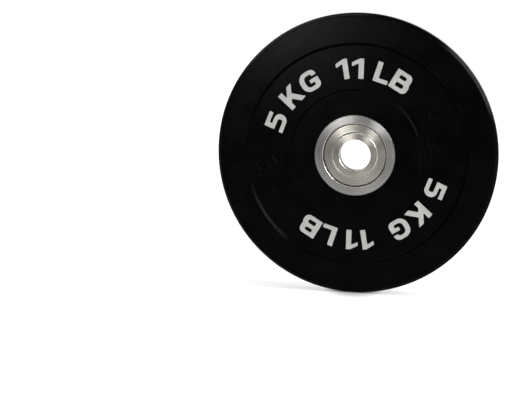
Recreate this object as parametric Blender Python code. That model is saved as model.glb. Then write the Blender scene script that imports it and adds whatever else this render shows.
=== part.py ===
"""Competition weight plate: a moulded rubber disc clamped on a turned steel hub.

The plate stands upright on its tread. The bore runs along Y, the front face
looks towards -Y, and the origin is the centre of the bore, halfway through.

Every ring is drawn as a half section of (radius, height) points, where height
is measured along the bore from the middle plane and is positive at the front,
and is then spun round the bore. Sizes are in metres.
"""

import bpy
import bmesh
from math import acos, cos, pi, radians, sin, tan
from mathutils import Vector

# Rubber disc
PLATE_DIAMETER = 0.450
RIM_THICKNESS = 0.025
RIM_CHAMFER = 0.005
RIM_BAND_WIDTH = 0.0465
STEP_DRAFT = 0.0036
WEB_THICKNESS = 0.015
PAD_WIDTH = 0.0418
PAD_HEIGHT = 0.002
PAD_DRAFT = 0.0030
PAD_EDGE_RADIUS = 0.0040
LIP_THICKNESS = 0.012
EDGE_RADIUS = 0.0010
FOOT_RADIUS = 0.0018

# Steel hub, from the bore outwards
BORE_DIAMETER = 0.0504
BORE_CHAMFER = 0.0008
SLEEVE_WALL = 0.0117
SLEEVE_LENGTH = 0.018
SLEEVE_EDGE_CHAMFER = 0.0006
COLLAR_REACH = 0.0026
DISH_WIDTH = 0.0145
DISH_DEPTH = 0.0045
DISH_DRAFT = 0.0010
HUB_RING_WIDTH = 0.0130
HUB_THICKNESS = 0.023
HUB_EDGE_CHAMFER = 0.0005
FLANGE_LAP = 0.0104

# Steel ring moulded into the rubber
ANCHOR_THICKNESS = 0.003
ANCHOR_REACH = 0.0276
PEG_COUNT = 12
PEG_HOLE_DIAMETER = 0.012
PEG_ROOT = 0.001

# Countersunk screws, put in from the rear
SCREW_COUNT = 6
SCREW_DIAMETER = 0.005
SCREW_HEAD_DIAMETER = 0.010
SCREW_HEAD_SINK = 0.0001
SOCKET_ACROSS_FLATS = 0.003
SOCKET_DEPTH = 0.0019
SCREW_HOLE_SKIN = 0.001

CLEARANCE = 0.0003
SHARP_ANGLE = radians(25)
RUBBER_STEPS = 88
STEEL_STEPS = 60
SCREW_STEPS = 16
ARC_STEPS = 2

# Radii that follow from the sizes above
bore_r = BORE_DIAMETER / 2
sleeve_r = bore_r + SLEEVE_WALL
collar_r = sleeve_r + COLLAR_REACH
dish_r = sleeve_r + DISH_WIDTH
hub_r = dish_r + HUB_RING_WIDTH
spigot_r = hub_r - FLANGE_LAP
pad_r = hub_r + PAD_WIDTH
anchor_r = hub_r + ANCHOR_REACH
plate_r = PLATE_DIAMETER / 2
step_r = plate_r - RIM_BAND_WIDTH
screw_r = SCREW_DIAMETER / 2
screw_hole_r = screw_r + CLEARANCE
peg_hole_r = PEG_HOLE_DIAMETER / 2
screw_circle_r = (sleeve_r + dish_r - DISH_DRAFT) / 2
peg_circle_r = (spigot_r + anchor_r) / 2

# Heights above the middle plane that follow from the sizes above
rim_face = RIM_THICKNESS / 2
web_face = WEB_THICKNESS / 2
pad_face = web_face + PAD_HEIGHT
lip_face = LIP_THICKNESS / 2
hub_face = HUB_THICKNESS / 2
dish_floor = hub_face - DISH_DEPTH
clamp_face = ANCHOR_THICKNESS / 2 + CLEARANCE
screw_head_top = dish_floor - SCREW_HEAD_SINK
screw_neck = screw_head_top - (SCREW_HEAD_DIAMETER - SCREW_DIAMETER) / 2
screw_hole_end = dish_floor - SCREW_HOLE_SKIN


def clear_scene():
    for obj in list(bpy.data.objects):
        bpy.data.objects.remove(obj)


def material(name, colour, metallic, roughness):
    mat = bpy.data.materials.new(name)
    mat.use_nodes = True
    shader = mat.node_tree.nodes["Principled BSDF"]
    shader.inputs["Base Color"].default_value = (*colour, 1.0)
    shader.inputs["Metallic"].default_value = metallic
    shader.inputs["Roughness"].default_value = roughness
    return mat


def rounded(corners):
    """Section points, with an arc in place of each corner that gives a radius."""
    points = []
    for index, (r, h, *radius) in enumerate(corners):
        corner = Vector((r, h))
        if not radius:
            points.append((r, h))
            continue
        back = (Vector(corners[index - 1][:2]) - corner).normalized()
        ahead = (Vector(corners[index + 1][:2]) - corner).normalized()
        half_angle = acos(back.dot(ahead)) / 2
        centre = corner + (back + ahead).normalized() * radius[0] / sin(half_angle)
        start = corner + back * radius[0] / tan(half_angle) - centre
        end = corner + ahead * radius[0] / tan(half_angle) - centre
        sweep = pi - 2 * half_angle
        for step in range(ARC_STEPS + 1):
            share = sweep * step / ARC_STEPS
            spoke = (start * sin(sweep - share) + end * sin(share)) / sin(sweep)
            points.append(tuple(centre + spoke))
    return points


def mirrored(half):
    """A half section and its twin across the middle plane, as one closed outline."""
    return half + [(r, -h) for r, h in reversed(half)]


def finish(name, bm, mat):
    """Turn a bmesh into a named object that hangs on the plate's empty."""
    bmesh.ops.recalc_face_normals(bm, faces=bm.faces)
    mesh = bpy.data.meshes.new(name)
    bm.to_mesh(mesh)
    bm.free()
    mesh.materials.append(mat)
    mesh.shade_smooth()
    mesh.set_sharp_from_angle(angle=SHARP_ANGLE)
    return placed(name, mesh)


def placed(name, mesh):
    obj = bpy.data.objects.new(name, mesh)
    bpy.context.scene.collection.objects.link(obj)
    obj.parent = plate
    return obj


def turned(name, outline, steps, mat):
    """A ring: a closed outline that stays clear of the axis, spun round it."""
    bm = bmesh.new()
    verts = [bm.verts.new((r, 0, h)) for r, h in outline]
    edges = [bm.edges.new((a, b)) for a, b in zip(verts, verts[1:] + verts[:1])]
    bmesh.ops.spin(bm, geom=verts + edges, axis=(0, 0, 1), cent=(0, 0, 0),
                   angle=2 * pi, steps=steps, use_merge=True)
    return finish(name, bm, mat)


def lathed(bm, centre, outline, steps):
    """A round body with flat ends, from the (radius, height) rings along its own axis."""
    turn = [2 * pi * (step + 0.5) / steps for step in range(steps)]
    rings = []
    for r, h in outline:
        rings.append([bm.verts.new(centre + Vector((r * cos(a), r * sin(a), h))) for a in turn])
    for low, high in zip(rings, rings[1:]):
        bmesh.ops.bridge_loops(bm, edges=loop_edges(bm, low) + loop_edges(bm, high))
    bm.faces.new(rings[0])
    bm.faces.new(rings[-1])


def loop_edges(bm, ring):
    pairs = zip(ring, ring[1:] + ring[:1])
    return [bm.edges.get(pair) or bm.edges.new(pair) for pair in pairs]


def ring_places(count, circle_r):
    """Places evenly spaced on a circle, the first one straight up."""
    turn = [pi / 2 + 2 * pi * index / count for index in range(count)]
    return [Vector((circle_r * cos(a), circle_r * sin(a), 0)) for a in turn]


def combine(obj, operation, places, outline, steps=SCREW_STEPS):
    """Add or take away equal round bodies, one at each place, with a Boolean."""
    bm = bmesh.new()
    for place in places:
        lathed(bm, place, outline, steps)
    tool = finish("tool", bm, obj.data.materials[0])
    change = obj.modifiers.new("round_bodies", "BOOLEAN")
    change.operation = operation
    change.object = tool
    change.solver = "EXACT"
    bpy.context.view_layer.update()
    evaluated = obj.evaluated_get(bpy.context.evaluated_depsgraph_get())
    shaped = bpy.data.meshes.new_from_object(evaluated)
    shaped.set_sharp_from_angle(angle=SHARP_ANGLE)
    obj.modifiers.clear()
    obj.data = shaped
    bpy.data.objects.remove(tool)


def rubber_disc():
    """Tread, raised rim band, recessed web and hub pad, moulded round the anchor ring."""
    half = rounded([
        (spigot_r + CLEARANCE, clamp_face),
        (spigot_r + CLEARANCE, lip_face),
        (hub_r + CLEARANCE, lip_face),
        (hub_r + CLEARANCE, pad_face),
        (pad_r - PAD_DRAFT, pad_face, PAD_EDGE_RADIUS),
        (pad_r, web_face, PAD_EDGE_RADIUS),
        (step_r - STEP_DRAFT, web_face, FOOT_RADIUS),
        (step_r, rim_face, EDGE_RADIUS),
        (plate_r - RIM_CHAMFER, rim_face),
        (plate_r, rim_face - RIM_CHAMFER),
    ])
    slot_end = (anchor_r + CLEARANCE, clamp_face)
    disc = turned("rubber_disc", mirrored([slot_end] + half), RUBBER_STEPS, rubber)

    # The rubber runs through the anchor ring's holes, so pegs join both sides of the slot
    peg_end = clamp_face + PEG_ROOT
    peg_r = peg_hole_r - CLEARANCE
    combine(disc, "UNION", ring_places(PEG_COUNT, peg_circle_r), [(peg_r, -peg_end), (peg_r, peg_end)])


def anchor_ring():
    """Flat steel ring in the rubber's slot, with peg holes outside and screw holes inside."""
    half_thickness = ANCHOR_THICKNESS / 2
    outline = mirrored([(collar_r + CLEARANCE, half_thickness), (anchor_r, half_thickness)])
    ring = turned("anchor_ring", outline, STEEL_STEPS, plain_steel)
    through = ANCHOR_THICKNESS
    combine(ring, "DIFFERENCE", ring_places(PEG_COUNT, peg_circle_r),
            [(peg_hole_r, -through), (peg_hole_r, through)])
    combine(ring, "DIFFERENCE", ring_places(SCREW_COUNT, screw_circle_r),
            [(screw_hole_r, -through), (screw_hole_r, through)])


def hub_flange(name, side):
    """Stepped flange with a dished face; side is 1 at the front and -1 at the rear."""
    half = [
        (sleeve_r + CLEARANCE, clamp_face),
        (spigot_r, clamp_face),
        (spigot_r, lip_face + CLEARANCE),
        (hub_r, lip_face + CLEARANCE),
        (hub_r, hub_face - HUB_EDGE_CHAMFER),
        (hub_r - HUB_EDGE_CHAMFER, hub_face),
        (dish_r + HUB_EDGE_CHAMFER / 2, hub_face),
        (dish_r, hub_face - HUB_EDGE_CHAMFER / 2),
        (dish_r - DISH_DRAFT, dish_floor),
        (sleeve_r + CLEARANCE, dish_floor),
    ]
    return turned(name, [(r, side * h) for r, h in half], STEEL_STEPS, stainless)


def bore_sleeve():
    """Sleeve that slides on the bar, held by a collar between the two flanges."""
    end = SLEEVE_LENGTH / 2
    collar_face = ANCHOR_THICKNESS / 2
    half = [
        (bore_r, end - BORE_CHAMFER),
        (bore_r + BORE_CHAMFER, end),
        (sleeve_r - SLEEVE_EDGE_CHAMFER, end),
        (sleeve_r, end - SLEEVE_EDGE_CHAMFER),
        (sleeve_r, collar_face),
        (collar_r, collar_face),
    ]
    turned("bore_sleeve", mirrored(half), STEEL_STEPS, stainless)


def clamped_hub():
    """Flanges and sleeve, with holes for the screws that draw the flanges together."""
    front = hub_flange("front_hub_flange", 1)
    rear = hub_flange("rear_hub_flange", -1)
    bore_sleeve()

    # Tapped from inside and stopped short of the dish floor, so the front face stays whole
    places = ring_places(SCREW_COUNT, screw_circle_r)
    combine(front, "DIFFERENCE", places, [(screw_hole_r, 0), (screw_hole_r, screw_hole_end)])

    # A 45 degree cone that keeps the clearance square to the screw head's own cone
    sink_neck = screw_neck - (CLEARANCE / cos(pi / 4) + screw_r - screw_hole_r)
    sink_r = screw_hole_r + dish_floor - sink_neck
    combine(rear, "DIFFERENCE", places, [
        (screw_hole_r, 0),
        (screw_hole_r, -sink_neck),
        (sink_r, -dish_floor),
        (sink_r, -hub_face),
    ])


def hub_screws():
    """Countersunk screws with hexagon sockets, each turned to face out from the bore."""
    bm = bmesh.new()
    lathed(bm, Vector(), [
        (screw_r, screw_hole_end - CLEARANCE),
        (screw_r, -screw_neck),
        (SCREW_HEAD_DIAMETER / 2, -screw_head_top),
    ], SCREW_STEPS)
    first = finish("hub_screw_1", bm, plain_steel)
    socket_r = SOCKET_ACROSS_FLATS / 2 / cos(pi / 6)
    socket = [(socket_r, SOCKET_DEPTH - screw_head_top), (socket_r, -hub_face)]
    combine(first, "DIFFERENCE", [Vector()], socket, steps=6)

    places = ring_places(SCREW_COUNT, screw_circle_r)
    copies = [placed(f"hub_screw_{number}", first.data) for number in range(2, SCREW_COUNT + 1)]
    for screw, place in zip([first] + copies, places):
        screw.location = place
        screw.rotation_euler.z = place.to_2d().angle_signed(Vector((0, 1)))


clear_scene()
rubber = material("moulded_rubber", (0.012, 0.012, 0.013), 0.0, 0.55)
stainless = material("turned_stainless_steel", (0.62, 0.61, 0.59), 1.0, 0.28)
plain_steel = material("zinc_plated_steel", (0.50, 0.50, 0.49), 1.0, 0.40)

# The empty tips the turned pieces over, so that their front looks towards -Y
plate = bpy.data.objects.new("plate", None)
bpy.context.scene.collection.objects.link(plate)
plate.rotation_euler.x = pi / 2

rubber_disc()
anchor_ring()
clamped_hub()
hub_screws()
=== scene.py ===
"""Looks of a 5 kg competition weight plate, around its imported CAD.

A moulded rubber disc stands on its tread. It is clamped on a turned stainless
hub whose bore runs along Y, and the front face looks towards -Y.

Pieces are drawn flat first: x to the right and y up as the front is seen, and
z along the bore, measured from the middle plane. Sizes are in metres.
"""

from math import pi, radians, sin, cos

import bpy
from mathutils import Matrix, Vector


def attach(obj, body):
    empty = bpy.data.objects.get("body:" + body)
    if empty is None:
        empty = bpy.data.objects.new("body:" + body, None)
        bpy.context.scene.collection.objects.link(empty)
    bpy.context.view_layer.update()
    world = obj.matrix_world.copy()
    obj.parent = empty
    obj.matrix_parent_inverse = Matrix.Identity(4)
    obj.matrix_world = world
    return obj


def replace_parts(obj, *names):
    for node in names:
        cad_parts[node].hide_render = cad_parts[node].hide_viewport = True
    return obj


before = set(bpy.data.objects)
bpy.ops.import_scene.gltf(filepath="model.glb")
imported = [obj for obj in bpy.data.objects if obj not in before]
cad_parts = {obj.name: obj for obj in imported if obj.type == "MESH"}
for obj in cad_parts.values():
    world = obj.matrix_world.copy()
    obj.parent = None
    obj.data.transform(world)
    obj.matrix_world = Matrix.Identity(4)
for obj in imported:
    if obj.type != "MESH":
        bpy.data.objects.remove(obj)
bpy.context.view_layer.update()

# Sizes of the rubber disc, as in the CAD
PLATE_R = 0.2250
RIM_FACE = 0.0125
RIM_CHAMFER = 0.0050
STEP_R = 0.1785
STEP_FOOT_R = 0.1749
WEB_FACE = 0.0075
PAD_R = 0.1062
PAD_TOP_R = 0.1032
PAD_FACE = 0.0095
LIP_FACE = 0.0060
ANCHOR_R = 0.0920

# Sizes of the hub, as in the CAD
HUB_R = 0.0644
HUB_FACE = 0.0115
SPIGOT_R = 0.0540
DISH_R = 0.0514
DISH_FOOT_R = 0.0504
DISH_FLOOR = 0.0070
SLEEVE_R = 0.0369
SLEEVE_END = 0.0090
COLLAR_R = 0.0395
BORE_R = 0.0252
CLAMP_FACE = 0.0018
CLEARANCE = 0.0003
COLLAR_FACE = 0.0015
BORE_CHAMFER = 0.0008

# Bevel of the sleeve's outer edge, broader than in the CAD, as it looks in the photograph
SLEEVE_EDGE_WIDTH = 0.0014
SLEEVE_EDGE_DEPTH = 0.0011

# Groove at the foot of the dish wall, which shows as a thin dark line
GROOVE_WIDTH = 0.0013
GROOVE_DEPTH = 0.0018

# Countersunk screws, put in from the rear
SCREW_COUNT = 6
SCREW_CIRCLE_R = 0.04365
SCREW_R = 0.0025
SCREW_HEAD_R = 0.0050
SCREW_TIP = 0.0057
SOCKET_R = 0.00173
SOCKET_DEPTH = 0.0019
SOCKET_POINT = 0.0004
HEAD_SINK = 0.0001

# How far a cutting tool reaches past the face that it cuts
OVERSHOOT = 0.0010

# Weight figures: their distance and direction from the bore, and how far they
# are let into the web. The moulded ones stand in two lines, MARK_LINE apart.
PRINT_R = 0.138
PRINT_CENTRE = radians(108.5)
PRINT_SINK = 0.00005
MARK_R = 0.1375
MARK_CENTRE = radians(17.5)
MARK_LINE = 0.0402
MARK_SINK = 0.0002

# Hatch on the rim band: the slant of its lines from upright, their spacing, and its end
HATCH_SLANT = radians(36)
HATCH_PITCH = 0.0064
HATCH_END_R = 0.2150

# From the flat drawing to the plate's two faces
FRONT = Matrix.Rotation(pi / 2, 4, "X")
REAR = Matrix.Rotation(pi, 4, "Z") @ FRONT


# Small helpers

def linear(code):
    """An sRGB hex colour as linear RGBA."""
    parts = [int(code[i:i + 2], 16) / 255 for i in (1, 3, 5)]
    return [*(c / 12.92 if c <= 0.04045 else ((c + 0.055) / 1.055) ** 2.4 for c in parts), 1.0]


def node(tree, kind, inputs=None, **settings):
    """Add a node. Settings are its properties; inputs are values, or output sockets to link."""
    new = tree.nodes.new(kind)
    for name, value in settings.items():
        setattr(new, name, value)
    for socket, value in (inputs or {}).items():
        if isinstance(value, bpy.types.Node):
            value = value.outputs[0]
        if isinstance(value, bpy.types.NodeSocket):
            tree.links.new(value, new.inputs[socket])
        else:
            new.inputs[socket].default_value = value
    return new


def shape_tree(name, inputs):
    """A Geometry Nodes tree with these named inputs; returns it with what they give."""
    tree = bpy.data.node_groups.new(name, "GeometryNodeTree")
    for label, kind in inputs:
        tree.interface.new_socket(label, in_out="INPUT", socket_type="NodeSocket" + kind)
    tree.interface.new_socket("Geometry", in_out="OUTPUT", socket_type="NodeSocketGeometry")
    return tree, tree.nodes.new("NodeGroupInput").outputs


def close_tree(tree, shape, finish):
    """End a tree the way the export needs: real geometry with its material set."""
    solid = node(tree, "GeometryNodeRealizeInstances", {"Geometry": shape})
    painted = node(tree, "GeometryNodeSetMaterial", {"Geometry": solid, "Material": finish})
    node(tree, "NodeGroupOutput", {"Geometry": painted})
    return tree


def plain_mesh(obj):
    """Replace an object's mesh by what its modifiers make of it."""
    bpy.context.view_layer.update()
    evaluated = obj.evaluated_get(bpy.context.evaluated_depsgraph_get())
    mesh = bpy.data.meshes.new_from_object(evaluated)
    obj.modifiers.clear()
    obj.data = mesh
    mesh.name = obj.name
    return obj


def modified(obj, kind, **settings):
    """Apply one modifier with these settings."""
    change = obj.modifiers.new(kind.lower(), kind)
    for name, value in settings.items():
        setattr(change, name, value)
    return plain_mesh(obj)


def grown(name, tree, start=None, **inputs):
    """An object made by a tree, from a start mesh where the tree needs one."""
    obj = bpy.data.objects.new(name, start or bpy.data.meshes.new(name))
    bpy.context.scene.collection.objects.link(obj)
    change = obj.modifiers.new(tree.name, "NODES")
    change.node_group = tree
    for item in tree.interface.items_tree:
        if item.in_out == "INPUT" and item.name.lower().replace(" ", "_") in inputs:
            change[item.identifier] = inputs[item.name.lower().replace(" ", "_")]
    return plain_mesh(obj)


# Materials

# Slope of the turned rings, about nine degrees
LEAN = 0.16


def material(name):
    """A new material, with its tree and its shader."""
    mat = bpy.data.materials.new(name)
    mat.use_nodes = True
    return mat, mat.node_tree, mat.node_tree.nodes["Principled BSDF"]


def maths(tree, operation, *values):
    """A Math node on these values, which are numbers or output sockets."""
    return node(tree, "ShaderNodeMath", dict(enumerate(values)), operation=operation)


def about_bore(tree):
    """Object coordinates, also one by one, and the distance from the bore's axis."""
    place = node(tree, "ShaderNodeTexCoord").outputs["Object"]
    axes = node(tree, "ShaderNodeSeparateXYZ", {0: place}).outputs
    radius = maths(tree, "SQRT", maths(tree, "ADD", maths(tree, "MULTIPLY", axes[0], axes[0]),
                                       maths(tree, "MULTIPLY", axes[2], axes[2])))
    return place, axes, radius


def noise(tree, place, size, detail=2.0, **settings):
    """Soft noise whose blotches are about size metres across, from 0 to 1."""
    return node(tree, "ShaderNodeTexNoise", {"Vector": place, "Scale": 1 / size, "Detail": detail},
                **settings)


def ramp(tree, value, low, high, to_low=0.0, to_high=1.0):
    """A smooth step: to_low where value is low, to_high where it is high."""
    return node(tree, "ShaderNodeMapRange", {0: value, 1: low, 2: high, 3: to_low, 4: to_high},
                interpolation_type="SMOOTHSTEP")


def blend_colour(tree, share, first, second):
    """The first colour where share is 0, the second where it is 1."""
    mixed = node(tree, "ShaderNodeMix", {0: share, 6: first, 7: second}, data_type="RGBA")
    return mixed.outputs[2]


def moulded_rubber():
    """Black natural rubber, hot pressed in a steel mould: deep black with a satin sheen.

    Inside the rim band the mould leaves a faint hatch of straight lines, 6.4 mm
    apart, that cross in upright diamonds. One way is cut deeper than the other.
    Its tops, and the tops of the moulded figures on the web, are rubbed paler.
    """
    mat, tree, shader = material("moulded_black_rubber")
    place, axes, radius = about_bore(tree)
    rows = []
    for way in (1, -1):
        across = maths(tree, "ADD", maths(tree, "MULTIPLY", axes[0], way * cos(HATCH_SLANT)),
                       maths(tree, "MULTIPLY", axes[2], sin(HATCH_SLANT)))
        rows.append(maths(tree, "SINE", maths(tree, "MULTIPLY", across, 2 * pi / HATCH_PITCH)))
    crossed = maths(tree, "ADD", rows[0], maths(tree, "MULTIPLY", rows[1], 0.35))
    band = maths(tree, "MULTIPLY", ramp(tree, radius, STEP_R, STEP_R + 0.0015),
                 ramp(tree, radius, HATCH_END_R, HATCH_END_R - 0.0120))
    hatch = maths(tree, "MULTIPLY", crossed, band)
    grain = noise(tree, place, 0.0012, 3.0)
    swell = noise(tree, place, 0.018, 2.0)
    fine = node(tree, "ShaderNodeBump", {"Strength": 0.2, "Distance": 0.0001, "Height": grain})
    wavy = node(tree, "ShaderNodeBump", {"Strength": 0.25, "Distance": 0.0004, "Height": swell,
                                         "Normal": fine})
    pressed = node(tree, "ShaderNodeBump", {"Strength": 0.05, "Distance": 0.0002, "Height": hatch,
                                            "Normal": wavy})

    cloud = noise(tree, place, 0.035, 4.0)
    plain = blend_colour(tree, ramp(tree, cloud, 0.35, 0.65), linear("#020202"), linear("#040404"))
    web = maths(tree, "MULTIPLY", ramp(tree, radius, PAD_R, PAD_R + 0.004),
                ramp(tree, radius, STEP_FOOT_R, STEP_FOOT_R - 0.004))
    height = maths(tree, "ABSOLUTE", axes[1])
    figure_tops = ramp(tree, height, WEB_FACE + 0.0008, WEB_FACE + 0.0014, 0, 0.5)
    raised = maths(tree, "MULTIPLY", web, figure_tops)
    tops = maths(tree, "MAXIMUM", raised, ramp(tree, hatch, -0.6, 1.4, 0, 0.5))
    worn = maths(tree, "MULTIPLY", tops, ramp(tree, cloud, 0.4, 0.6, 0.4, 1))
    rubbed = blend_colour(tree, worn, plain, linear("#0D0C0C"))
    tree.links.new(rubbed, shader.inputs["Base Color"])
    tree.links.new(ramp(tree, cloud, 0.3, 0.7, 0.21, 0.26).outputs[0], shader.inputs["Roughness"])
    tree.links.new(pressed.outputs[0], shader.inputs["Normal"])
    shader.inputs["IOR"].default_value = 1.5
    shader.inputs["Specular IOR Level"].default_value = 0.019
    return mat


def screen_ink():
    """Pale grey ink, screen printed on the rubber: matt, slightly uneven in cover."""
    mat, tree, shader = material("screen_printed_grey_ink")
    place = node(tree, "ShaderNodeTexCoord").outputs["Object"]
    cover = ramp(tree, noise(tree, place, 0.012, 4.0), 0.3, 0.7)
    colour = blend_colour(tree, cover, linear("#B5B3B1"), linear("#C1BFBC"))
    tree.links.new(colour, shader.inputs["Base Color"])
    tree.links.new(ramp(tree, cover, 0, 1, 0.6, 0.7).outputs[0], shader.inputs["Roughness"])
    grain = node(tree, "ShaderNodeBump", {"Strength": 0.3, "Distance": 0.0001,
                                          "Height": noise(tree, place, 0.0012, 3.0)})
    tree.links.new(grain.outputs[0], shader.inputs["Normal"])
    shader.inputs["Specular IOR Level"].default_value = 0.3
    return mat


def turned_steel(name, low, high, roughness, feed, depth):
    """Stainless steel, faced on a lathe. The tool leaves fine rings round the bore.

    They spread each reflection across the rings, so lamps show as bright fans.
    The feed is the distance between rings, drawn wider than real ones so that
    it shows. Each is cut deeper outside than inside, so the rings lean outwards.
    """
    mat, tree, shader = material(name)
    place, _, radius = about_bore(tree)
    wide = node(tree, "ShaderNodeTexNoise", {"W": radius, "Scale": 1 / (2 * feed), "Detail": 2.0},
                noise_dimensions="1D")
    rings = node(tree, "ShaderNodeTexNoise", {"W": radius, "Scale": 1 / feed, "Detail": 1.0},
                 noise_dimensions="1D")
    smudge = noise(tree, place, 0.02, 3.0)
    colour = blend_colour(tree, ramp(tree, wide, 0.25, 0.75), linear(low), linear(high))
    tree.links.new(colour, shader.inputs["Base Color"])
    worn = maths(tree, "ADD", ramp(tree, smudge, 0.3, 0.7, -0.02, 0.02),
                 ramp(tree, rings, 0.3, 0.7, roughness - 0.04, roughness + 0.04))
    tree.links.new(worn.outputs[0], shader.inputs["Roughness"])
    lean = maths(tree, "MULTIPLY", radius, -LEAN / depth)
    cut = node(tree, "ShaderNodeBump", {"Strength": 1.0, "Distance": depth,
                                        "Height": maths(tree, "ADD", rings, lean)})
    tree.links.new(cut.outputs[0], shader.inputs["Normal"])
    around = node(tree, "ShaderNodeTangent", direction_type="RADIAL", axis="Y")
    tree.links.new(around.outputs[0], shader.inputs["Tangent"])
    shader.inputs["Metallic"].default_value = 1.0
    shader.inputs["Anisotropic"].default_value = 0.85
    shader.inputs["Anisotropic Rotation"].default_value = 0.25
    return mat


def rubbed_steel_painted_highlight():
    """Stainless corners and bore walls, broken with fine emery, in a much paler colour than the
    faced steel: a painted highlight.
    """
    mat, tree, shader = material("emery_rubbed_stainless")
    place = node(tree, "ShaderNodeTexCoord").outputs["Object"]
    blotch = ramp(tree, noise(tree, place, 0.004, 3.0), 0.3, 0.7)
    colour = blend_colour(tree, blotch, linear("#C0BEB9"), linear("#D0CECA"))
    tree.links.new(colour, shader.inputs["Base Color"])
    tree.links.new(ramp(tree, blotch, 0, 1, 0.26, 0.34).outputs[0], shader.inputs["Roughness"])
    shader.inputs["Metallic"].default_value = 1.0
    return mat


def zinc_plate():
    """Zinc plated carbon steel: a pale, faintly blue grey with soft blotches."""
    mat, tree, shader = material("zinc_plated_steel")
    place = node(tree, "ShaderNodeTexCoord").outputs["Object"]
    blotch = ramp(tree, noise(tree, place, 0.003, 3.0), 0.3, 0.7)
    colour = blend_colour(tree, blotch, linear("#A9ABAE"), linear("#C3C4C3"))
    tree.links.new(colour, shader.inputs["Base Color"])
    tree.links.new(ramp(tree, blotch, 0, 1, 0.3, 0.42).outputs[0], shader.inputs["Roughness"])
    shader.inputs["Metallic"].default_value = 1.0
    return mat


rubber = moulded_rubber()
ink = screen_ink()
# The ring's steel is written darker than the dish's: painted shade, standing in for a darker
# reflection on the outer ring.
ring_steel_painted_darker = turned_steel("faced_stainless_ring", "#676664", "#838280", 0.36, 0.0008, 0.00002)
dish_steel = turned_steel("faced_stainless_dish", "#6D6A65", "#8E8B84", 0.35, 0.0008, 0.00003)
# Walls and corners get a paler steel than the faced steel: a painted highlight.
edge_steel_painted_highlight = rubbed_steel_painted_highlight()
zinc = zinc_plate()


# Turned pieces

# Radius of the circle that the turning tree sweeps a section along
GUIDE_R = 1.0

# A face counts as flat where its normal's share along the bore is at least this
FLAT = 0.97

# Where the rubbing and painted highlight of the dish wall end: just past its top corner, and just
# above the floor, so that the outer corner and the groove walls are left without it
HIGHLIGHT_END_R = DISH_R + 0.0010
HIGHLIGHT_FOOT = DISH_FLOOR + 0.0005


def turning_tree():
    """Spin a closed section round the axis, with its marked corners rounded."""
    tree, given = shape_tree("turned_from_section", [
        ("Section", "Geometry"), ("Steps", "Int"), ("Arc steps", "Int"), ("Finish", "Material")])
    line = node(tree, "GeometryNodeMeshToCurve", {"Mesh": given["Section"]})
    radius = node(tree, "GeometryNodeInputNamedAttribute", {"Name": "rounding"})
    soft = node(tree, "GeometryNodeFilletCurve",
                {"Curve": line, "Count": given["Arc steps"], "Radius": radius}, mode="POLY")
    guide = node(tree, "GeometryNodeCurvePrimitiveCircle",
                 {"Resolution": given["Steps"], "Radius": GUIDE_R})
    upright = node(tree, "GeometryNodeSetCurveNormal", {"Curve": guide}, mode="Z_UP")
    skin = node(tree, "GeometryNodeCurveToMesh", {"Curve": upright, "Profile Curve": soft})
    closed = node(tree, "GeometryNodeMergeByDistance", {"Geometry": skin, "Distance": 0.000002})
    return close_tree(tree, closed, given["Finish"])


def ring_tree():
    """Copies of one piece, evenly spaced round the axis and facing out; the first is up."""
    tree, given = shape_tree("set_round_the_bore", [
        ("Piece", "Geometry"), ("Count", "Int"), ("Circle radius", "Float"),
        ("Finish", "Material")])
    circle = node(tree, "GeometryNodeMeshCircle",
                  {"Vertices": given["Count"], "Radius": given["Circle radius"]})
    first_up = node(tree, "GeometryNodeTransform", {"Geometry": circle, "Rotation": (0, 0, pi / 2)})
    outward = node(tree, "FunctionNodeAlignRotationToVector",
                   {"Vector": node(tree, "GeometryNodeInputPosition")}, axis="X")
    copies = node(tree, "GeometryNodeInstanceOnPoints",
                  {"Points": first_up, "Instance": given["Piece"], "Rotation": outward})
    return close_tree(tree, copies, given["Finish"])


TURNING = turning_tree()
RING = ring_tree()


def turned(name, corners, finish, steps=256, arc_steps=4):
    """A turned piece from its closed section; a corner's third number is its rounding.

    The tree sweeps the section along a big guide circle, which turns it upside down.
    """
    count = len(corners)
    spin = sum(corners[i - 1][0] * corners[i][1] - corners[i][0] * corners[i - 1][1]
               for i in range(count))
    if spin > 0:
        corners = corners[::-1]
    section = bpy.data.meshes.new(name)
    section.from_pydata([(c[0] - GUIDE_R, -c[1], 0) for c in corners],
                        [(i, (i + 1) % count) for i in range(count)], [])
    rounding = section.attributes.new("rounding", "FLOAT", "POINT")
    rounding.data.foreach_set("value", [c[2] if len(c) > 2 else 0.0 for c in corners])
    return grown(name, TURNING, section, steps=steps, arc_steps=arc_steps, finish=finish)


def mirrored(half):
    """A whole section from its front half."""
    return half + [(c[0], -c[1], *c[2:]) for c in reversed(half)]


def set_round(piece, finish):
    """Six copies of a piece on the screw circle, in place of the piece."""
    name, mesh = piece.name, piece.data
    bpy.data.objects.remove(piece)
    return grown(name, RING, mesh, count=SCREW_COUNT, circle_radius=SCREW_CIRCLE_R, finish=finish)


def cut(obj, tool):
    """Take a tool's shape out of an object; the tool is used up."""
    modified(obj, "BOOLEAN", operation="DIFFERENCE", solver="EXACT", object=tool)
    bpy.data.objects.remove(tool)
    return obj


def placed(obj, side):
    """Turn a finished piece into place, with flat faces kept flat in its shading."""
    obj.data.transform(side)
    obj.data.shade_smooth()
    obj.data.set_sharp_from_angle(angle=radians(30))
    modified(obj, "WEIGHTED_NORMAL", keep_sharp=True, weight=80)
    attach(obj, "root")
    return obj


def rub_edges_paint_highlight(obj, foot=0.0):
    """Give the walls and corners of a turned piece, above its foot and inside the outer ring, the
    paler rubbed steel: a painted highlight.
    """
    mesh = obj.data
    mesh.materials.append(edge_steel_painted_highlight)
    for face in mesh.polygons:
        inside = Vector(face.center[:2]).length < HIGHLIGHT_END_R
        if inside and abs(face.normal.z) < FLAT and abs(face.center.z) > foot:
            face.material_index = len(mesh.materials) - 1


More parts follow.
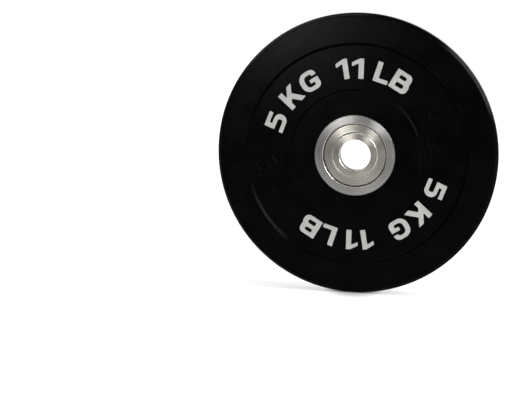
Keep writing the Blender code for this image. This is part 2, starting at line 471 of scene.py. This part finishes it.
def rubber_disc():
    """The disc, with its slot for the anchor ring. The pegs inside are left to the CAD."""
    half = [
        (ANCHOR_R + CLEARANCE, CLAMP_FACE),
        (SPIGOT_R + CLEARANCE, CLAMP_FACE),
        (SPIGOT_R + CLEARANCE, LIP_FACE),
        (HUB_R + CLEARANCE, LIP_FACE),
        (HUB_R + CLEARANCE, PAD_FACE, 0.0004),
        (PAD_TOP_R, PAD_FACE, 0.0020),
        (PAD_R, WEB_FACE, 0.0020),
        (STEP_FOOT_R, WEB_FACE, 0.0018),
        (STEP_R, RIM_FACE, 0.0010),
        (PLATE_R - RIM_CHAMFER, RIM_FACE, 0.0020),
        (PLATE_R, RIM_FACE - RIM_CHAMFER, 0.0020),
    ]
    disc = turned("moulded_rubber_disc", mirrored(half), rubber, steps=360, arc_steps=5)
    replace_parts(placed(disc, FRONT), "rubber_disc")


def hub_flange(name, side, drilled):
    """A dished flange, drilled and countersunk for the screws where drilled is true."""
    section = [
        (SLEEVE_R + CLEARANCE, CLAMP_FACE),
        (SPIGOT_R, CLAMP_FACE),
        (SPIGOT_R, LIP_FACE + CLEARANCE),
        (HUB_R, LIP_FACE + CLEARANCE),
        (HUB_R, HUB_FACE, 0.0005),
        (DISH_R, HUB_FACE, 0.0015),
        (DISH_FOOT_R, DISH_FLOOR - GROOVE_DEPTH),
        (DISH_FOOT_R - GROOVE_WIDTH, DISH_FLOOR),
        (SLEEVE_R + CLEARANCE, DISH_FLOOR),
    ]
    flange = turned(name + "_turned", section, dish_steel)
    if drilled:
        shank = SCREW_R + CLEARANCE
        neck = DISH_FLOOR - (SCREW_HEAD_R - SCREW_R)
        top = DISH_FLOOR + OVERSHOOT
        hole = [(0, 0), (shank, 0), (shank, neck), (shank + top - neck, top), (0, top)]
        tool = turned("countersink_tool", hole, dish_steel, steps=48)
        cut(flange, set_round(tool, dish_steel))
    mesh = flange.data
    # The faces outside the dish take the ring's darker steel: painted shade.
    mesh.materials.append(ring_steel_painted_darker)
    for face in mesh.polygons:
        if Vector(face.center[:2]).length > (DISH_R + DISH_FOOT_R) / 2:
            face.material_index = 1
    rub_edges_paint_highlight(flange, HIGHLIGHT_FOOT)
    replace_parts(placed(flange, side), name)


def bore_sleeve():
    """The sleeve, with the collar that the flanges hold."""
    half = [
        (BORE_R, SLEEVE_END - BORE_CHAMFER),
        (BORE_R + BORE_CHAMFER, SLEEVE_END, 0.0002),
        (SLEEVE_R - SLEEVE_EDGE_WIDTH, SLEEVE_END, 0.0003),
        (SLEEVE_R, SLEEVE_END - SLEEVE_EDGE_DEPTH, 0.0003),
        (SLEEVE_R, COLLAR_FACE),
        (COLLAR_R, COLLAR_FACE),
    ]
    sleeve = turned("bore_sleeve_turned", mirrored(half), dish_steel)
    rub_edges_paint_highlight(sleeve)
    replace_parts(placed(sleeve, FRONT), "bore_sleeve")


def hub_screws():
    """Countersunk screws with hexagon sockets, all in one piece that stands for six."""
    head = DISH_FLOOR - HEAD_SINK
    section = [
        (0, -SCREW_TIP), (SCREW_R, -SCREW_TIP, 0.0005),
        (SCREW_R, head - (SCREW_HEAD_R - SCREW_R)), (SCREW_HEAD_R, head, 0.0002), (0, head)]
    screw = turned("hub_screw_set", section, zinc, steps=48)
    socket = [(0, head - SOCKET_DEPTH - SOCKET_POINT), (SOCKET_R, head - SOCKET_DEPTH),
              (SOCKET_R, head + OVERSHOOT), (0, head + OVERSHOOT)]
    cut(screw, turned("socket_tool", socket, zinc, steps=6))
    screws = set_round(screw, zinc)
    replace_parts(placed(screws, REAR), *[f"hub_screw_{n + 1}" for n in range(SCREW_COUNT)])


# Weight figures, printed and moulded

def filling_tree():
    """Fill flat outlines, with their corners rounded; an outline inside another is a hole."""
    tree, given = shape_tree("filled_outlines", [
        ("Outlines", "Geometry"), ("Arc steps", "Int"), ("Finish", "Material")])
    lines = node(tree, "GeometryNodeMeshToCurve", {"Mesh": given["Outlines"]})
    radius = node(tree, "GeometryNodeInputNamedAttribute", {"Name": "rounding"})
    soft = node(tree, "GeometryNodeFilletCurve",
                {"Curve": lines, "Count": given["Arc steps"], "Radius": radius,
                 "Limit Radius": True}, mode="POLY")
    filled = node(tree, "GeometryNodeFillCurve", {"Curve": soft}, mode="NGONS")
    merged = node(tree, "GeometryNodeMergeByDistance", {"Geometry": filled, "Distance": 0.0001})
    return close_tree(tree, merged, given["Finish"])


FILLING = filling_tree()

# Height, thickness, flare and bevel are in metres. The stroke, gap and corner are shares
# of the height, and width widens the letters and the gaps between them. Flare is how far
# the letters' walls slope outwards.
PRINTED = {"height": 0.032, "stroke": 0.26, "width": 1.12, "gap": 0.16, "corner": 0.03,
           "thickness": 0.00025, "flare": 0.0, "bevel": 0.00008}
MOULDED = {"height": 0.032, "stroke": 0.125, "width": 0.80, "gap": 0.10, "corner": 0.045,
           "thickness": 0.0018, "flare": 0.0013, "bevel": 0.0003}


def crossing(p, along, q, other):
    """Where the line through p meets the line through q."""
    gap = Vector(q) - Vector(p)
    share = (gap.x * other[1] - gap.y * other[0]) / (along[0] * other[1] - along[1] * other[0])
    return tuple(Vector(p) + share * Vector(along))


def letter_shapes(s):
    """Plain wide letters, one unit tall: {letter: (width, outlines)}.

    Upright strokes are s wide, level ones t. A point's third number is its
    rounding; the rest take their style's corner.
    """
    t = 0.87 * s
    # The K: the directions of its arm and leg, the crook where they meet, and their ends
    arm, leg = (0.32, 0.38), (-0.37, 0.62)
    crook = (0.30 + s, 0.62)
    foot = (crook[0] + 0.37, 0)
    stem_low = crossing(crook, arm, (s, 0), (0, 1))
    armpit = crossing(crook, arm, (foot[0] - 1.22 * s, 0), leg)
    tip = (crook[0] + 0.32, 1)
    stem_high = crossing((tip[0] - 1.25 * s, 1), arm, (s, 0), (0, 1))
    return {
        "1": (0.3 + s, [[(0.3, 0), (0.3 + s, 0), (0.3 + s, 1), (0.36, 1), (0, 0.8), (0, 0.8 - t),
                         (0.3, 0.967 - t)]]),
        "5": (0.8, [[(0.07, 1), (0.74, 1), (0.74, 1 - t), (0.05 + s, 1 - t), (0.04 + s, 0.66),
                     (0.8, 0.66, 0.3), (0.8, 0, 0.33), (0.02, 0), (0.02, t), (0.8 - s, t, 0.1),
                     (0.8 - s, 0.66 - t, 0.1), (0.05, 0.66 - t)]]),
        "B": (0.84, [[(0, 0), (0, 1), (0.8, 1, 0.25), (0.8, 0.53, 0.12), (0.77, 0.51),
                      (0.84, 0.47, 0.12), (0.84, 0, 0.26)],
                     [(s, t), (s, 0.51 - t / 2), (0.84 - s, 0.51 - t / 2, 0.1),
                      (0.84 - s, t, 0.1)],
                     [(s, 0.51 + t / 2), (s, 1 - t), (0.8 - s, 1 - t, 0.1),
                      (0.8 - s, 0.51 + t / 2, 0.1)]]),
        "G": (0.86, [[(0.86, 0.68), (0.86, 1, 0.3), (0, 1, 0.42), (0, 0, 0.42), (0.86, 0, 0.26),
                      (0.86, 0.55), (0.44, 0.55), (0.44, 0.55 - 0.9 * t),
                      (0.86 - s, 0.55 - 0.9 * t), (0.86 - s, t, 0.08), (s, t, 0.2),
                      (s, 1 - t, 0.2), (0.86 - s, 1 - t, 0.12), (0.86 - s, 0.68)]]),
        "K": (foot[0], [[(0, 0), (s, 0), stem_low, armpit, (foot[0] - 1.22 * s, 0), foot, crook,
                         tip, (tip[0] - 1.25 * s, 1), stem_high, (s, 1), (0, 1)]]),
        "L": (0.66, [[(0, 0), (0.66, 0), (0.66, t), (s, t), (s, 1), (0, 1)]]),
        " ": (0.2, []),
    }


def flare_foot(mesh, width):
    """Move the foot of upright walls outwards, so that they slope. The foot is at z = 0."""
    near_foot = 0.00001
    outward = [Vector() for _ in mesh.vertices]
    for face in mesh.polygons:
        if abs(face.normal.z) < 0.5:
            for i in face.vertices:
                outward[i] += face.normal
    for vertex, way in zip(mesh.vertices, outward):
        if vertex.co.z < near_foot:
            vertex.co += way.normalized() * width


def figures(name, text, style, finish, arc_r=None):
    """A row of solid letters centred on the origin, or set round an arc of radius arc_r.

    Each letter keeps its shape and only turns with the arc.
    """
    height, width, gap = style["height"], style["width"], style["gap"]
    shapes = letter_shapes(style["stroke"] / width)
    row = sum(shapes[c][0] for c in text) + gap * (len(text) - 1)
    points, edges, rounding = [], [], []
    left = -row / 2
    for letter in text:
        wide, outlines = shapes[letter]
        centre = (left + wide / 2) * height * width
        turn = -centre / arc_r if arc_r else 0
        for outline in outlines:
            first = len(points)
            for x, y, *radius in outline:
                point = Vector(((x - wide / 2) * height * width, (y - 0.5) * height))
                if arc_r:
                    point.y += arc_r
                    point.rotate(Matrix.Rotation(turn, 2))
                    point.y -= arc_r
                else:
                    point.x += centre
                points.append((*point, 0))
                rounding.append((radius[0] if radius else style["corner"]) * height)
            last = len(points) - 1
            edges += [(i, i + 1) for i in range(first, last)] + [(last, first)]
        left += wide + gap
    mesh = bpy.data.meshes.new(name)
    mesh.from_pydata(points, edges, [])
    mesh.attributes.new("rounding", "FLOAT", "POINT").data.foreach_set("value", rounding)
    obj = grown(name, FILLING, mesh, arc_steps=6, finish=finish)
    modified(obj, "SOLIDIFY", thickness=style["thickness"], offset=1.0)
    flare_foot(obj.data, style["flare"])
    modified(obj, "BEVEL", width=style["bevel"], segments=2, limit_method="ANGLE",
             angle_limit=radians(40))
    return obj


def joined(name, parts, side):
    """One placed piece from several, each given as an object and its place on the face."""
    for obj, place in parts:
        obj.data.transform(place)
    pieces = [obj for obj, _ in parts]
    keep = pieces[0]
    with bpy.context.temp_override(active_object=keep, selected_editable_objects=pieces):
        bpy.ops.object.join()
    keep.name = name
    placed(keep, side)


def weight_print(name, side):
    """The weight in both units, printed twice round the web; the second row is turned round."""
    rows = []
    for turn in (0, pi):
        row = figures(name, "5 KG  11 LB", PRINTED, ink, PRINT_R)
        place = (Matrix.Rotation(PRINT_CENTRE - pi / 2 + turn, 4, "Z") @
                 Matrix.Translation((0, PRINT_R, WEB_FACE - PRINT_SINK)))
        rows.append((row, place))
    joined(name, rows, side)


def weight_mark(name, side):
    """The weight moulded in relief, a 5 over KG, on both sides of the bore."""
    rows = []
    for turn in (0, pi):
        for letters, up in (("5", MARK_LINE / 2), ("KG", -MARK_LINE / 2)):
            row = figures(name, letters, MOULDED, rubber)
            place = (Matrix.Rotation(MARK_CENTRE + turn, 4, "Z") @
                     Matrix.Translation((MARK_R, up, WEB_FACE - MARK_SINK)))
            rows.append((row, place))
    joined(name, rows, side)


rubber_disc()
hub_flange("front_hub_flange", FRONT, False)
hub_flange("rear_hub_flange", REAR, True)
bore_sleeve()
hub_screws()
for label, side in (("front", FRONT), ("rear", REAR)):
    weight_print(f"{label}_weight_print", side)
    weight_mark(f"{label}_weight_mark", side)
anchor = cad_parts["anchor_ring"]
anchor.data.materials.clear()
anchor.data.materials.append(zinc)


# Floor, lights and camera

def seen_ray(tree):
    """1 for rays that show the background: the camera's, and those that mirror or pass through."""
    ray = node(tree, "ShaderNodeLightPath").outputs
    either = maths(tree, "MAXIMUM", ray["Is Camera Ray"], ray["Is Glossy Ray"])
    return maths(tree, "MAXIMUM", either, ray["Is Transmission Ray"])


def floor():
    """White paper sweep: it shows as plain white with the plate's soft shadow on it. Round the
    point where the plate stands, its glow is turned down: a painted contact shadow.
    """
    mat, tree, shader = material("white_paper_sweep")
    shader.inputs["Roughness"].default_value = 0.9
    shader.inputs["Specular IOR Level"].default_value = 0.1
    seen = seen_ray(tree)
    place = node(tree, "ShaderNodeTexCoord").outputs["Object"]
    away = node(tree, "ShaderNodeVectorMath", {0: place}, operation="LENGTH").outputs["Value"]
    near_white = ramp(tree, away, 0.35, 1.0, 0.3, 0.1)
    paper = node(tree, "ShaderNodeMix", {0: seen, 2: near_white, 3: 0.45})
    tree.links.new(node(tree, "ShaderNodeCombineColor", {0: paper, 1: paper, 2: paper}).outputs[0],
                   shader.inputs["Base Color"])
    far_glow = ramp(tree, away, 0.6, 2.2, 0.0, 0.45)
    # The glow is turned down within a few centimetres of the contact point: a painted contact
    # shadow.
    glow_with_painted_shadow = ramp(tree, away, 0.012, 0.055, 0.02, 0.55)
    glow = node(tree, "ShaderNodeEmission",
                {"Color": (1, 1, 1, 1), "Strength": maths(tree, "ADD", far_glow, glow_with_painted_shadow)})
    both = node(tree, "ShaderNodeAddShader", {0: shader, 1: glow})
    shown = node(tree, "ShaderNodeMixShader", {0: seen, 1: shader, 2: both})
    tree.links.new(shown.outputs[0], tree.nodes["Material Output"].inputs["Surface"])
    mesh = bpy.data.meshes.new("paper_sweep")
    mesh.from_pydata([(x, y, 0) for x, y in ((-8, -1), (8, -1), (8, 8), (-8, 8))],
                     [], [(0, 1, 2, 3)])
    mesh.materials.append(mat)
    obj = bpy.data.objects.new("paper_sweep", mesh)
    obj.location.z = -PLATE_R
    bpy.context.scene.collection.objects.link(obj)


def studio():
    """White all round for the camera, with only a low, soft light on the plate.

    Reflections show the white backdrop behind the plate and, in front, a dim room.
    """
    world = bpy.data.worlds.new("studio")
    bpy.context.scene.world = world
    world.use_nodes = True
    tree = world.node_tree
    tree.nodes.clear()
    direction = node(tree, "ShaderNodeTexCoord").outputs["Generated"]
    _, back, up = node(tree, "ShaderNodeSeparateXYZ", {0: direction}).outputs
    camera_ray = node(tree, "ShaderNodeLightPath").outputs["Is Camera Ray"]
    lit = ramp(tree, up, 0.0, 0.5, 0.17, 0.08)
    backdrop = maths(tree, "MULTIPLY", ramp(tree, back, -0.2, 0.4),
                     ramp(tree, up, 0.6, 0.95, 1.0, 0.3))
    mirrored_room = maths(tree, "MAXIMUM", ramp(tree, up, 0.05, 0.4, 0.4, 0.06), backdrop)
    unseen = node(tree, "ShaderNodeMix", {0: seen_ray(tree), 2: lit, 3: mirrored_room})
    level = node(tree, "ShaderNodeMix", {0: camera_ray, 2: unseen, 3: 1.0})
    room = node(tree, "ShaderNodeBackground", {"Color": (1, 1, 1, 1), "Strength": level})
    node(tree, "ShaderNodeOutputWorld", {"Surface": room})


def softbox(name, place, size, power):
    """A rectangular white lamp that faces the bore; power is in watts."""
    lamp = bpy.data.lights.new(name, "AREA")
    lamp.shape = "RECTANGLE"
    lamp.size, lamp.size_y = size
    lamp.energy = power
    obj = bpy.data.objects.new(name, lamp)
    obj.location = place
    obj.rotation_euler = (-Vector(place)).to_track_quat("-Z", "Y").to_euler()
    bpy.context.scene.collection.objects.link(obj)


def camera():
    """The photograph's view: lens, place and turn as fitted to the plate's edges."""
    lens = bpy.data.cameras.new("photo_view")
    lens.sensor_width = 36.0
    lens.lens = 85.90
    obj = bpy.data.objects.new("photo_view", lens)
    obj.location = (0.2717, -1.9215, 0.2787)
    obj.rotation_euler = (radians(79.482), 0, radians(12.784))
    bpy.context.scene.collection.objects.link(obj)
    bpy.context.scene.camera = obj


floor()
studio()
softbox("upper_left", (-0.477, -1.75, 0.24), (0.28, 0.28), 9.2)
softbox("upper_right", (0.385, -1.79, 0.505), (0.25, 0.25), 7.6)
softbox("right_low", (0.62, -1.2, -0.10), (0.35, 0.2), 1.0)
softbox("right_front", (1.46, -0.97, 0.94), (0.35, 1.1), 13)
softbox("right_strip", (1.856, -0.176, 1.207), (0.25, 1.4), 46)
softbox("overhead", (-1.15, 0.05, 1.85), (0.40, 2.6), 32)
softbox("ceiling_front", (0.30, -0.85, 1.80), (0.90, 0.45), 3.5)
softbox("behind_left", (-1.2, 1.5, 1.0), (0.9, 0.9), 18)
camera()
bpy.context.scene.view_settings.view_transform = "Standard"
